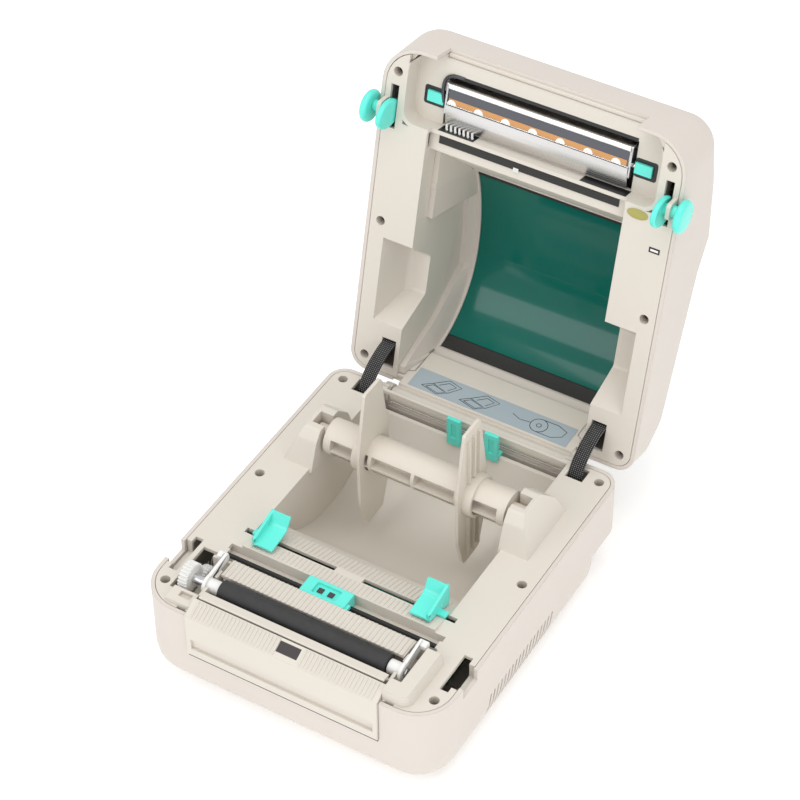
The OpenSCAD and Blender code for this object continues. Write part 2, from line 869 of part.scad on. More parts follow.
module guide_pinion() {
    color([0.93, 0.93, 0.92])
        translate([0, guide_y, rack_z])
            gear(guide_pinion_r, 12, 1, rack_h + 1.5);
}

module sensor_carriage() {
    color([0.42, 0.93, 0.84])
        difference() {
            union() {
                box([sensor_x - 15, sensor_x + 15], [channel_front + 0.5, channel_rear - 0.8],
                    [channel_z + 0.4, 69.6]);
                box([sensor_x + 13, sensor_x + 17], [channel_front + 0.5, channel_front + 6], [66, 68.4]);
            }
            box([sensor_x - 8, sensor_x + 8], [-62.2, -54], [67.8, 70]);
            rod(rail_r + turn_gap, [-40, 40], rail_at[0], rail_at[1]);
        }
}

module sensor_eyes() {
    color([0.12, 0.10, 0.14])
        for (x = [-4, 3])
            box([sensor_x + x - 1.8, sensor_x + x + 1.8], [-60, -56.4], [67.8, 68.4]);
}

// ---- roll holder ----
module spindle() {
    color([0.90, 0.87, 0.83])
        difference() {
            union() {
                difference() {
                    rod(spindle_r, [-spindle_x, spindle_x], roll_y, roll_z);
                    // windows between the ribs, front and rear
                    for (s = [-1, 1], u = [-1, 1], i = [-2:1])
                        box([29.6 * i + 1.2 + (i == -2 ? 1 : 0), 29.6 * i + 28.4 - (i == 1 ? 1 : 0)],
                            s > 0 ? [roll_y + 1, roll_y + 15] : [roll_y - 15, roll_y - 1],
                            u > 0 ? [roll_z - 1.2, roll_z + 6] : [roll_z - 9, roll_z - 2.6]);
                }
                rod(journal_r, [-spindle_x - 9, spindle_x + 9], roll_y, roll_z);
            }
        }
}

module flange_outline() {
    rounded([[roll_y - 8.5, roll_z + flange_h, 2], [roll_y + 9.5, roll_z + flange_h, 2],
        [roll_y + 17, roll_z + 8, 6], [roll_y + 16, roll_z - 30, 4], [roll_y + 8.5, roll_z - flange_h, 2],
        [roll_y - 9.5, roll_z - flange_h, 2], [roll_y - 16, roll_z - 30, 4], [roll_y - 17, roll_z + 8, 6]]);
}

module flange() {
    difference() {
        union() {
            side([flange_x - 1.4, flange_x + 0.8])
                flange_outline();
            // stiffening ribs and the sleeve round the spindle on the outer face
            rod(spindle_r + 2.2, [flange_x + 0.4, flange_x + 7], roll_y, roll_z);
            for (y = [-6, 0, 6])
                for (z = [[14, 47], [-47, -14]])
                    box([flange_x + 0.4, flange_x + 2.8], [roll_y + y - 0.7, roll_y + y + 0.7],
                        [roll_z + z[0], roll_z + z[1]]);
        }
        rod(spindle_r + turn_gap, [flange_x - 3, flange_x + 8], roll_y, roll_z);
    }
}

module flange_left() {
    color([0.89, 0.86, 0.82])
        mirror([1, 0, 0])
            flange();
}

module flange_right() {
    color([0.89, 0.86, 0.82])
        flange();
}

module fanfold_guide() {
    difference() {
        side([-4.6, 4.6])
            polygon([[rail_y - 2, rail_z - 1.8], [rail_y - 2, 71.5], [rail_y + 0.6, 71.5],
                [rail_y + 0.6, rail_z + 2], [rail_y + rail_w + 1.9, rail_z + 2],
                [rail_y + rail_w + 1.9, rail_z - 3], [rail_y + rail_w + slide_gap, rail_z - 3],
                [rail_y + rail_w + slide_gap, rail_z + slide_gap], [rail_y - slide_gap, rail_z + slide_gap],
                [rail_y - slide_gap, rail_z - 1.8]]);
        box([-1.6, 1.6], [rail_y - 3, rail_y - 1], [56.5, 67.5]);
    }
}

module fanfold_left() {
    color([0.42, 0.93, 0.84])
        translate([-9.2, 0, 0])
            fanfold_guide();
}

module fanfold_right() {
    color([0.42, 0.93, 0.84])
        translate([17.1, 0, 0])
            fanfold_guide();
}

// flat braided sleeve of the wires that cross from base to lid
module cable_sleeve() {
    side([69.9, 77.9])
        band([[100, step_z + wall + 0.3], [100, 61], [102.4, 68.4], [112, 76.4], [123, 80.7],
            [131.4, 81], [138, 79.2]], 2.8);
}

module sleeve_left() {
    color([0.10, 0.10, 0.10])
        mirror([1, 0, 0])
            cable_sleeve();
}

module sleeve_right() {
    color([0.10, 0.10, 0.10])
        cable_sleeve();
}

// ---- lid ----
module opened() {
    translate([0, hinge_y, hinge_z])
        rotate([-lid_open, 0, 0])
            translate([0, -hinge_y, -hinge_z])
                children();
}

// closed lid as a solid with a waist behind its brow, smaller by t on every side
module lid_loaf(t) {
    r = lid_side_r - t;
    waist = lid_tops[3];
    for (half = [[lid_tops[0], lid_tops[1], lid_tops[2], waist], [waist, lid_tops[4]]])
        hull() {
            for (s = [-1, 1], p = half)
                translate([s * (half_w - lid_side_r), p[0], p[1]])
                    sphere(r, $fn = 32);
            translate([0, 0, t > 0 ? lid_low - 1 : lid_low])
                linear_extrude(20)
                    intersection() {
                        plan(half_w - t, half_d - t, corner_r - t, rear_r - t);
                        translate([-half_w, len(half) > 2 ? -half_d : waist[0]])
                            square([body_w, len(half) > 2 ? half_d + waist[0] : half_d - waist[0]]);
                    }
        }
}

// the room over the roll, from radius window_r + t inwards
module roof(t) {
    intersection() {
        union() {
            intersection() {
                translate([roll_y, roll_z])
                    circle(window_r + t, $fn = 128);
                square_from([brow_y, 0], [200, 200]);
            }
            intersection() {
                translate([brow_y, brow_z])
                    circle(brow_r + t, $fn = 256);
                square_from([-100, 0], [brow_y, 200]);
            }
        }
        square_from([window_front, lid_low - 5], [window_rear, 200]);
    }
}

// everything above the roof line over the roll
module above_roof(t, y) {
    difference() {
        square_from([y[0], 96.2], [y[1], 200]);
        roof(t);
        square_from([y[0] - 1, 0], [window_front, 119.6]);
    }
}

function roof_at(y) = y < brow_y ? brow_z + sqrt(brow_r * brow_r - pow(y - brow_y, 2))
    : roll_z + sqrt(max(0, window_r * window_r - pow(y - roll_y, 2)));

// a body drawn through four-sided sections, each [y, [x, z] of its corners]
module skin(sections) {
    n = len(sections);
    polyhedron(
        [for (s = sections) each [for (p = s[1]) [p[0], s[0], p[1]]]],
        [[3, 2, 1, 0], [for (i = [0:3]) 4 * n - 4 + i],
            for (k = [0:n - 2], i = [0:3])
                [4 * k + i, 4 * k + (i + 1) % 4, 4 * k + 4 + (i + 1) % 4, 4 * k + 4 + i]]);
}

// cheeks beside the roll lean in from a ledge up to the edge of the window
module cheeks(y, out) {
    ys = [for (v = concat([y[0]], [for (l = ledges) l[0]], [for (v = [-40:5:100]) v],
        [back_slope[1][0] - 0.3, back_slope[1][0] - 0.1], [y[1]]))
        if (v >= y[0] && v <= y[1]) v];
    function sorted(a) = len(a) < 2 ? a
        : concat(sorted([for (v = a) if (v < a[0]) v]), [a[0]], sorted([for (v = a) if (v > a[0]) v]));
    function top(v) = v < window_front ? strip_z + (v - strip_rear) * 1.617
        : v < back_slope[1][0] - 0.2 ? roof_at(v)
        : lookup(v, [back_slope[1], back_slope[0]]) - window_t - 0.9;
    function lean(v) = v < window_front ? (v + 45) / (window_front + 45) : 1;
    both()
        skin([for (v = sorted(ys))
            let (low = lookup(v, ledges), high = top(v) + out)
                [v, [[cheek_in, low], [cheek_x - 0.1, low], [cheek_x - 0.1, high],
                    [cheek_in - (cheek_in - window_x) * lean(v), high]]]]);
}

// the part of the lid that the window rests in, above the room for the roll
module window_frame() {
    side([-cheek_x, cheek_x])
        above_roof(-window_lip, [window_front - wall, window_rear + 2]);
    cheeks([window_front, 106.5], window_t);
}

module on_face(x) {
    translate([x, face_mid[0], face_mid[1]])
        rotate([atan2(-face_dir[0], face_dir[1]), 0, 0])
            children();
}

module lid_shell() {
    color([0.90, 0.87, 0.84])
        opened()
            difference() {
                union() {
                    lid_loaf(0);
                    // dome over the roll
                    side([-cheek_x, cheek_x])
                        roof(window_t + 0.9);
                }
                difference() {
                    union() {
                        lid_loaf(wall);
                        side([-bay_x, bay_x])
                            roof(-window_lip);
                    }
                    window_frame();
                }
                side([-window_x, window_x])
                    above_roof(0, [window_front, window_rear]);
                side([window_side - window_x, window_x - window_side])
                    square_from([window_front + 2, 92], [window_rear - 2, 200]);
                box([-half_w, half_w], [-half_d, half_d], [0, lid_low]);
                // label exit in the front wall
                box([-mouth_x, mouth_x], [-half_d - 1, 6 - half_d], [lid_low - 1, mouth_z]);
                box([-notch_x - lug_w - 1, notch_x + lug_w + 1], [half_d - wall - 0.5, half_d + 1],
                    [lid_low - 1, lid_low + 2]);
                on_face(button_x)
                    translate([0, 0, -wall - 2])
                        cylinder(r = button_r + slide_gap, h = 20);
                on_face(lamp_x)
                    translate([0, 0, -wall - 2])
                        cylinder(r = 1.52, h = 20);
                // seat of the rear wall of the frame
                box([-notch_x, notch_x], [half_d - wall - 4, half_d - wall + 0.3], [lid_low - 1, 84]);
            }
}

module lid_frame() {
    color([0.91, 0.88, 0.84])
        opened()
            difference() {
                union() {
                    frame_plate();
                    head_recess();
                    roll_walls();
                    frame_posts();
                    lid_barrel();
                    both()
                        latch_ear();
                    both()
                        pocket_walls();
                    spring_bridge();
                    button_post();
                }
                screw_places()
                    translate([0, 0, lid_low - 1])
                        cylinder(r = screw_hole_r, h = screw_drop + 1);
                screw_places()
                    translate([0, 0, lid_low])
                        cylinder(r = screw_r, h = screw_drop + 10);
                both()
                    box(slot_x, slot_y, [lid_low - 1, lid_low + wall + 1]);
                both()
                    box([68.9, 78.9], [84.5, 104], [lid_low - 1, lid_low + wall + 1]);
                both()
                    pocket_room(0);
                both()
                    rod(pin_r, [notch_x - 7.2, notch_x + 1], hinge_y, hinge_z);
                both()
                    rod(axle_r + turn_gap, [ear_x[0] - 1, ear_x[1] + 1], latch_y, latch_z);
            }
}

module frame_plate() {
    difference() {
        translate([0, 0, lid_low])
            linear_extrude(wall)
                plan(deck_x, deck_y, corner_r - wall - skin_gap, rear_r - wall - skin_gap);
        box([-recess_x, recess_x], [recess_front - 3, recess_rear], [lid_low - 1, lid_low + 4]);
        box([-bay_x, bay_x], [recess_rear - 1, half_d], [lid_low - 1, lid_low + 4]);
    }
    // cross piece between the print head and the roll
    box([-bay_x - 1, bay_x + 1], [strip_front, strip_rear], [strip_z, strip_z + wall]);
}

// recess with a raised floor, open in the middle for the print head
module head_recess() {
    difference() {
        translate([0, 0, lid_low])
            linear_extrude(recess_z + wall - lid_low)
                rounded([[-recess_x - wall, recess_front - 2, 16], [recess_x + wall, recess_front - 2, 16],
                    [recess_x + wall, recess_rear + 0.5, 10], [-recess_x - wall, recess_rear + 0.5, 10]]);
        translate([0, 0, lid_low - 1])
            linear_extrude(recess_z - lid_low + 1)
                rounded([[-recess_x, recess_front - 4, 14], [recess_x, recess_front - 4, 14],
                    [recess_x, recess_rear - 2, 8], [-recess_x, recess_rear - 2, 8]]);
        box([-mouth_x, mouth_x], [-half_d, recess_front], [lid_low - 1, mouth_z]);
        // passes over the label sensor
        box([-mouth_x, mouth_x], [recess_rear - 3, recess_rear + 1], [lid_low - 1, lip_z - 0.3]);
        box([-63, 63], [-96.2, recess_rear - 2.5], [recess_z - 1, recess_z + 4]);
        box([-76, 76], [-84.9, -76], [recess_z - 1, recess_z + 4]);
    }
}

// bar over the print head
module spring_bridge() {
    box([-67, 67], [-92, -80], [bridge_z, bridge_z + wall]);
    both()
        box([64, 67], [-92, -87], [recess_z + wall - 0.5, bridge_z + 1]);
}

module button_post() {
    difference() {
        intersection() {
            on_face(button_x)
                translate([0, 0, -50])
                    cylinder(r = stem_r + 1.6, h = 34);
            box([60, 80], [-100, -60], [recess_z + wall - 0.5, 120]);
        }
        on_face(button_x)
            translate([0, 0, -30])
                cylinder(r = stem_r + turn_gap, h = 20);
    }
}

module roll_walls() {
    // side walls beside the roll, up to the ledge of the cheeks
    difference() {
        intersection() {
            both()
                side([bay_x, bay_x + wall])
                    polygon(concat([[window_rear, lid_low + 1.5], [strip_rear - 1, lid_low + 1.5],
                        [strip_rear - 1, strip_z + 4]],
                        [for (l = ledges) if (l[0] < 100) [l[0], l[1] - slide_gap]]));
            lid_loaf(wall);
        }
        side([-cheek_x - 1, cheek_x + 1])
            above_roof(-window_lip - slide_gap, [window_front - wall - slide_gap, window_rear + 2]);
    }
    both()
        box([bay_x, bay_x + wall], [strip_rear - 1, 109], [lid_low, lid_low + wall]);
    // slanted walls ahead of and behind the roll
    side([-bay_x - wall, bay_x + wall])
        polygon([[strip_rear - 2.5, strip_z], [strip_rear, strip_z], [-20.9, 119.3], [-23.5, 119.3]]);
    side([-notch_x + 0.5, notch_x - 0.5])
        polygon([back_slope[0], back_slope[1], [103.6, 94.5], [109.2, 80], [109.2, 68], [113.4, 67.4],
            [113.4, 62]]);
    intersection() {
        side([-bay_x - 0.5, bay_x + 0.5])
            polygon([back_slope[0], back_slope[1], [window_rear - 1, 95.9], [103.6, 95.9], [109.2, 80],
                [109.2, 62]]);
        box([-half_w, half_w], [0, half_d], [68, 200]);
    }
    cheeks([-44.5, window_front - wall - slide_gap], 1);
}

// posts under the screws reach up to the shell
module frame_posts() {
    intersection() {
        screw_places()
            translate([0, 0, lid_low])
                cylinder(r = screw_tube_r, h = 60);
        lid_loaf(wall);
    }
}

module lid_barrel() {
    rod(barrel_r, [-notch_x + 0.4, notch_x - 0.4], hinge_y, hinge_z);
    side([-notch_x + 0.5, notch_x - 0.5])
        polygon([[111.2, 62.4], [111, 58], [114, 56], [117, 58], [114, 66], [113, 68]]);
}

module latch_ear() {
    side(ear_x)
        rounded([[latch_y - 6, lid_low + 1, 0], [latch_y - 5, latch_z - 4.9, 3],
            [latch_y + 5, latch_z - 4.9, 3], [latch_y + 6, lid_low + 1, 0]]);
}

// room for a spindle cradle under the closed lid, larger by t
module pocket_room(t) {
    intersection() {
        side([bay_x - 1, boss_out + 8])
            rounded([[16 - t, lid_low - 1, 0], [33 - t, 93 + t, 3], [60 + t, 93 + t, 3], [75 + t, lid_low - 1, 0]]);
        front([0, 90])
            rounded([[bay_x - 2, lid_low - 1, 0], [bay_x - 2, 93 + t, 0], [boss_out - 3 + t, 93 + t, 5],
                [boss_out + 5 + t, lid_low - 1, 0]]);
    }
}

module pocket_walls() {
    difference() {
        pocket_room(2);
        pocket_room(0);
        box([0, bay_x], [0, 100], [0, 100]);
        box([0, 100], [0, 100], [0, lid_low]);
    }
}

module lid_window() {
    color([0.02, 0.35, 0.28, 0.8])
        opened()
            side([0.2 - window_x, window_x - 0.2])
                difference() {
                    roof(window_t);
                    roof(0.05);
                    square_from([window_front - 2, 0], [window_front + 0.2, 200]);
                    square_from([window_rear - 0.2, 0], [window_rear + 2, 200]);
                }
}

module window_seals() {
    color([0.10, 0.11, 0.11])
        opened()
            for (y = [[window_front + 2.2, window_front + 5], [window_rear - 7, window_rear - 2.2]])
                side([window_side + 0.2 - window_x, window_x - window_side - 0.2])
                    intersection() {
                        difference() {
                            roof(0);
                            roof(-0.5);
                        }
                        square_from([y[0], 92], [y[1], 160]);
                    }
}

module lid_screws() {
    color([0.45, 0.45, 0.47])
        opened()
            screw_places()
                translate([0, 0, lid_low + screw_drop + 9])
                    mirror([0, 0, 1])
                        screw(0);
}

module upper_sensor() {
    color([0.09, 0.09, 0.10])
        opened()
            box([-60, 60], [-60.7, -55.7], [strip_z - 0.7, strip_z]);
}

module lid_label() {
    up = unit(back_slope[1] - back_slope[0]);
    color([0.62, 0.68, 0.74])
        opened()
            side([-56, 56])
                polygon([for (p = [[1.5, 0], [18.8, 0], [18.8, 0.2], [1.5, 0.2]])
                    back_slope[0] + p[0] * up + p[1] * [-up[1], up[0]]]);
}

module seal_label() {
    color([0.62, 0.60, 0.22])
        opened()
            translate([76, -58.5, lid_low - 0.2])
                cylinder(r = 3.4, h = 0.2);
}

module lid_sensor() {
    color([0.10, 0.10, 0.10])
        opened()
            box([85.1, 92.1], [-41.2, -37.7], [lid_low - 0.4, lid_low]);
}

module head_springs() {
    color([0.60, 0.60, 0.62])
        opened()
            for (x = [-45, 45])
                translate([x, -84, 86.2])
                    difference() {
                        cylinder(r = 3.5, h = bridge_z - 86.2);
                        translate([0, 0, -1])
                            cylinder(r = 2.4, h = 12);
                    }
}

// the clips hold the pivots of the print head
module head_clips() {
    color([0.42, 0.93, 0.84])
        opened()
            both()
                difference() {
                    union() {
                        box([head_x + 2.9, 74.5], [-83.9, -77], [recess_z - 2, recess_z + wall + 1]);
                        box([head_x + 2.9, 76.8], [-86.4, -74.6],
                            [recess_z + wall, recess_z + wall + 1.4]);
                    }
                    rod(pivot_r + turn_gap, [head_x, head_x + 7], pivot_at[0], pivot_at[1]);
                }
}

// flat cable that comes up behind the print head
module ribbon_cable() {
    color([0.93, 0.93, 0.92])
        opened()
            side([-52, -32])
                polygon([[head_rear, 77.5], [head_rear, 84], [head_rear + 1.5, 92], [head_rear + 2.4, 92],
                    [head_rear + 0.9, 84], [head_rear + 0.9, 77.5]]);
}

module feed_button() {
    color([0.42, 0.93, 0.84])
        opened()
            on_face(button_x) {
                translate([0, 0, -wall - 0.4])
                    cylinder(r = button_r, h = wall + 1.6);
                translate([0, 0, -wall - 1.6])
                    cylinder(r = button_r + 1.4, h = 1.2);
                translate([0, 0, -23])
                    cylinder(r = stem_r, h = 21);
            }
}

module status_lamp() {
    color([0.75, 0.95, 0.75])
        opened()
            on_face(lamp_x)
                translate([0, 0, -6])
                    cylinder(r = 1.5, h = 6.4);
}

// ---- print head ----
module head_bracket() {
    color([0.80, 0.80, 0.82])
        opened() {
            side([-head_x, head_x])
                polygon([[head_front, head_low + 2], [head_front + 0.6, head_low + 0.6],
                    [-90, head_low + 0.6], [-90, head_low + 2.4], [head_rear - 7.6, head_low + 2.4],
                    [head_rear - 7.6, head_low + 1.4], [head_rear, head_low + 3.4],
                    [head_rear, 86], [head_front, 86]]);
            both()
                rod(pivot_r, [head_x - 1, head_x + 6], pivot_at[0], pivot_at[1]);
        }
}

module head_plate() {
    color([0.70, 0.70, 0.72])
        opened()
            side([-head_x, head_x])
                polygon([[head_rear - 7.6, head_low + 0.4], [head_rear, head_low + 2.4],
                    [head_rear, head_low + 3.4], [head_rear - 7.6, head_low + 1.4]]);
}

module head_strip() {
    color([0.40, 0.42, 0.46])
        opened()
            box([1 - head_x, head_x - 1], [-90, head_rear - 7.8], [head_low + 1.2, head_low + 2.4]);
}

// ---- latches ----
module latch() {
    side(hook_x)
        rounded([[latch_y - 7, latch_z + 1, 5], [latch_y - 3, latch_z + 12, 5],
            [latch_y + 11, latch_z + 12, 5], [latch_y + 11.5, latch_z, 5],
            [latch_y + 6, latch_z - 10, 8], [latch_y - 5, latch_z - 17, 1.5], [latch_y - 8, latch_z - 15, 1.5]]);
    rod(axle_r, [hook_x[1] - 0.5, lever_x[0] + 0.5], latch_y, latch_z);
    side(lever_x)
        rounded([[latch_y - 15, latch_z - 11, 8], [latch_y - 15, latch_z + 3, 9], [latch_y - 5, latch_z + 14, 9],
            [latch_y + 7, latch_z + 14, 8], [latch_y + 12, latch_z + 1, 9], [latch_y + 1, latch_z - 14, 9]]);
}

module latch_left() {
    color([0.42, 0.93, 0.84])
        opened()
            mirror([1, 0, 0])
                latch();
}

module latch_right() {
    color([0.42, 0.93, 0.84])
        opened()
            latch();
}

lower_case();
base_deck();
front_cover();
cover_window();
tear_bar();
rubber_feet();
deck_screws();
sensor_rail();
motor_bracket();
stepper_motor();
main_board();
dc_inlet();
usb_port();
hinge_pins();
power_switch();
platen_shaft();
platen_rubber();
platen_gear();
idler_gear();
motor_pinion();
bushing_left();
bushing_right();
guide_left();
guide_right();
guide_pinion();
sensor_carriage();
sensor_eyes();
spindle();
flange_left();
flange_right();
fanfold_left();
fanfold_right();
sleeve_left();
sleeve_right();
lid_shell();
lid_frame();
lid_window();
window_seals();
lid_screws();
upper_sensor();
lid_label();
seal_label();
lid_sensor();
head_springs();
head_clips();
ribbon_cable();
feed_button();
status_lamp();
head_bracket();
head_plate();
head_strip();
latch_left();
latch_right();
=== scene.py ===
import bpy, bmesh, json, math
from mathutils import Matrix, Vector

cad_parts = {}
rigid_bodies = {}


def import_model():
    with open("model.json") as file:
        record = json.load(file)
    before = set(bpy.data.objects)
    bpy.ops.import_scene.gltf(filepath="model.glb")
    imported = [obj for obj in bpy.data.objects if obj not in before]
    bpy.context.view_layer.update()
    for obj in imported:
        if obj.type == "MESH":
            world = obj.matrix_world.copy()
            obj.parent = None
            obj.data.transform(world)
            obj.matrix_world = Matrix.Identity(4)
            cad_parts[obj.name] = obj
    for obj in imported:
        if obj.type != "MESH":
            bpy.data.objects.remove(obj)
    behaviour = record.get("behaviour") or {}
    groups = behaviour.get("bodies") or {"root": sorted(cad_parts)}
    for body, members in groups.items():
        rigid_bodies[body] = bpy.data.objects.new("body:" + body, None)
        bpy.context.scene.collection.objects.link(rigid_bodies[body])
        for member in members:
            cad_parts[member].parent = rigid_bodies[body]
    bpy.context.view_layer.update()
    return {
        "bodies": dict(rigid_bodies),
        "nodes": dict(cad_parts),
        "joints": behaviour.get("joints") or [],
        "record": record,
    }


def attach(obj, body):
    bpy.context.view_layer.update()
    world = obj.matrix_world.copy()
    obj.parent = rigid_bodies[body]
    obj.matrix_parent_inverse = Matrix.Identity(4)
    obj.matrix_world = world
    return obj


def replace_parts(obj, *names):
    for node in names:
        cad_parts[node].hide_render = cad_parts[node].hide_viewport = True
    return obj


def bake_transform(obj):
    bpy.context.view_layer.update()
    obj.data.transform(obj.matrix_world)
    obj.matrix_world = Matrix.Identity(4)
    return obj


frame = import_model()
nodes = frame["nodes"]
hinge = Vector((0, 0.1146, 0.0565))
openAngle = math.radians(-103.4)  # turn of the lid from shut to open


class Wire:  # a shader socket that takes part in arithmetic
    def __init__(self, shader, socket):
        self.shader = shader
        self.socket = socket

    def maths(self, operation, *others):
        return self.shader.node("Math", self, *others, operation=operation)

    def __add__(self, other): return self.maths("ADD", other)
    def __radd__(self, other): return self.maths("ADD", other)
    def __mul__(self, other): return self.maths("MULTIPLY", other)
    def __rmul__(self, other): return self.maths("MULTIPLY", other)
    def __sub__(self, other): return self.maths("SUBTRACT", other)
    def __gt__(self, other): return self.maths("GREATER_THAN", other)
    def __lt__(self, other): return self.maths("LESS_THAN", other)

    def sine(self): return self.maths("SINE")
    def clamped(self): return self.shader.node("Clamp", self)
    def parts(self): return [self.shader.node("SeparateXYZ", self, out=i) for i in range(3)]


class Shader:  # one material and the nodes in it
    def __init__(self, name, colour=(0.8, 0.8, 0.8), roughness=0.5, metallic=0.0, coat=0.0, **values):
        self.material = bpy.data.materials.new(name)
        self.material.use_nodes = True
        self.tree = self.material.node_tree
        self.surface = self.tree.nodes["Principled BSDF"]
        self.put(self.surface.inputs["Base Color"], colour)
        self.put(self.surface.inputs["Roughness"], roughness)
        self.put(self.surface.inputs["Metallic"], metallic)
        self.put(self.surface.inputs["Coat Weight"], coat)
        for key, value in values.items():
            self.put(self.surface.inputs[key.replace("_", " ").title().replace("Ior", "IOR")], value)

    def put(self, socket, value):
        if isinstance(value, Wire):
            self.tree.links.new(value.socket, socket)
        elif socket.type == "RGBA" and len(value) == 3:
            socket.default_value = (*value, 1)
        else:
            socket.default_value = value

    def node(self, kind, *inputs, out=0, **settings):
        made = self.tree.nodes.new("ShaderNode" + kind)
        named = {key: value for key, value in settings.items() if not hasattr(made, key)}
        for key in settings.keys() - named.keys():
            setattr(made, key, settings[key])
        for socket, value in zip([s for s in made.inputs if s.enabled], inputs):
            if value is not None:
                self.put(socket, value)
        for key, value in named.items():
            self.put(next(s for s in made.inputs if s.enabled and s.name.replace(" ", "") == key), value)
        return Wire(self, [s for s in made.outputs if s.enabled][out])

    def place(self):  # object coordinates in metres
        return self.node("TexCoord", out=3)

    def noise(self, scale, detail=2.0, vector=None):
        return self.node("TexNoise", vector or self.place(), Scale=scale, Detail=detail)

    def blend(self, factor, low, high):
        return self.node("Mix", factor, low, high, data_type="RGBA")

    def edges(self, radius):  # normals that turn softly over each edge
        return self.node("Bevel", radius, samples=4)

    def bump(self, height, distance, strength, edge=0.0004):
        bumps = self.node("Bump", strength, distance, Height=height, Normal=self.edges(edge))
        self.put(self.surface.inputs["Normal"], bumps)

    def soften(self, edge):
        self.put(self.surface.inputs["Normal"], self.edges(edge))

    def closedPlace(self):  # object coordinates of the lid as if it were shut
        offset = hinge - Matrix.Rotation(-openAngle, 3, "X") @ hinge
        return self.node("Mapping", self.place(), vector_type="POINT", Location=offset,
                         Rotation=(-openAngle, 0, 0))

    def colour(self, value):
        self.put(self.surface.inputs["Base Color"], value)

    def rough(self, value):
        self.put(self.surface.inputs["Roughness"], value)


# moulded plastics: grain is the height of the surface texture in metres
plastics = {
    "shell": dict(colour=(0.650, 0.595, 0.540), roughness=0.50, grain=0.00006, edge=0.0007),
    "deck": dict(colour=(0.665, 0.617, 0.548), roughness=0.46, grain=0.00004, edge=0.0004),
    "holder": dict(colour=(0.665, 0.610, 0.532), roughness=0.42, grain=0.00003, edge=0.0005),
    "teal": dict(colour=(0.120, 0.780, 0.670), roughness=0.26, grain=0.00001, edge=0.0005),
    "white": dict(colour=(0.800, 0.795, 0.775), roughness=0.36, grain=0.00001, edge=0.0003),
    "black": dict(colour=(0.014, 0.014, 0.015), roughness=0.34, grain=0.00001, edge=0.0003),
}


def plastic(name, colour, roughness, grain, edge, shadeBox=None):
    made = Shader(name, roughness=roughness)
    cloud = made.noise(9.0, 3.0)
    tone = made.blend(cloud, [c * 0.96 for c in colour], [min(1, c * 1.03) for c in colour])
    if shadeBox:  # painted shade: corners of a box in the shut lid whose inside is coloured near black as the shade of the hollow over the head
        inside = 1.0
        for place, low, high in zip(made.closedPlace().parts(), *shadeBox):
            inside = inside * (place > low) * (place < high)
        tone = made.blend(inside, tone, (0.010, 0.010, 0.011))
    made.colour(tone)
    made.rough(roughness + 0.08 * (made.noise(60.0, 4.0) - 0.5))
    made.bump(made.noise(2600.0, 2.0), grain, 0.5, edge)
    return made.material


def metal(name, colour, roughness, streak=0.0, edge=0.0003):
    made = Shader(name, colour=colour, roughness=roughness, metallic=1.0)
    stretched = made.node("Mapping", made.place(), Scale=(2.0, 900.0, 900.0))
    made.rough(roughness + streak * (made.noise(3.0, 3.0, stretched) - 0.5))
    made.soften(edge)
    return made.material


def rubber(name):
    made = Shader(name, roughness=0.62)
    dust = made.noise(220.0, 4.0)
    made.colour(made.blend(dust, (0.020, 0.020, 0.021), (0.036, 0.035, 0.036)))
    made.bump(made.noise(1800.0, 3.0), 0.00008, 0.6)
    return made.material


def tinted(name):
    made = Shader(name, roughness=0.10, coat=0.15, specular_ior_level=0.30)
    made.colour(made.blend(made.noise(5.0, 2.0), (0.0, 0.116, 0.090), (0.0, 0.142, 0.110)))
    made.rough(0.10 + 0.05 * made.noise(14.0, 3.0))
    made.soften(0.0004)
    return made.material


def braid(name):  # crossing black threads, with painted sheen as bright flecks on the raised crossings
    made = Shader(name, roughness=0.55)
    x, y, z = made.place().parts()
    run = 0.75 * (y + z)
    cross = ((x + run) * 2500).sine() * ((x - run) * 2500).sine()
    crossingSheen = (cross - 0.35) * made.noise(700.0, 2.0) * 4.5
    made.colour(made.blend(crossingSheen.clamped(), (0.006, 0.006, 0.006), (0.300, 0.300, 0.305)))
    made.bump(cross, 0.0004, 0.9, 0.0006)
    return made.material


def plain(name, colour, roughness=0.5, **values):
    made = Shader(name, roughness=roughness, **values)
    made.colour(made.blend(made.noise(40.0, 2.0), [c * 0.95 for c in colour], colour))
    made.rough(roughness + 0.06 * (made.noise(90.0, 3.0) - 0.5))
    made.soften(0.0002)
    return made.material


looks = {name: plastic(name, **values) for name, values in plastics.items()}
headShadeBox = ((-0.066, -0.099, 0.0835), (0.066, -0.060, 0.1165))  # painted shade: the hollow over the print head is coloured near black
looks["lidInside"] = plastic("lidInside", **plastics["deck"], shadeBox=headShadeBox)
looks["lidOutside"] = plastic("lidOutside", **plastics["shell"], shadeBox=headShadeBox)
looks["steel"] = metal("steel", (0.62, 0.62, 0.63), 0.28, 0.2)
# painted shade: the sensor rail and the strip in the gap under the cover are coloured black as the shadow
# they sit in
looks["rod"] = plain("rod", (0.012, 0.012, 0.012), 0.6)
looks["smoke"] = plain("smoke", (0.055, 0.046, 0.048), 0.18)
looks["bright"] = metal("bright", (0.84, 0.83, 0.82), 0.13, 0.10, 0.0006)
looks["brushed"] = metal("brushed", (0.66, 0.65, 0.64), 0.30, 0.35)
looks["screw"] = metal("screw", (0.10, 0.10, 0.11), 0.45)
looks["brass"] = metal("brass", (0.70, 0.52, 0.22), 0.3, 0.1)
looks["rubber"] = rubber("rubber")
looks["window"] = tinted("window")
looks["braid"] = braid("braid")
looks["label"] = plain("label", (0.385, 0.455, 0.495), 0.42)
looks["ink"] = plain("ink", (0.020, 0.020, 0.024), 0.5)
looks["olive"] = plain("olive", (0.40, 0.36, 0.10), 0.30)
looks["ceramic"] = plain("ceramic", (0.085, 0.090, 0.105), 0.22)
looks["amber"] = plain("amber", (0.60, 0.29, 0.10), 0.25)
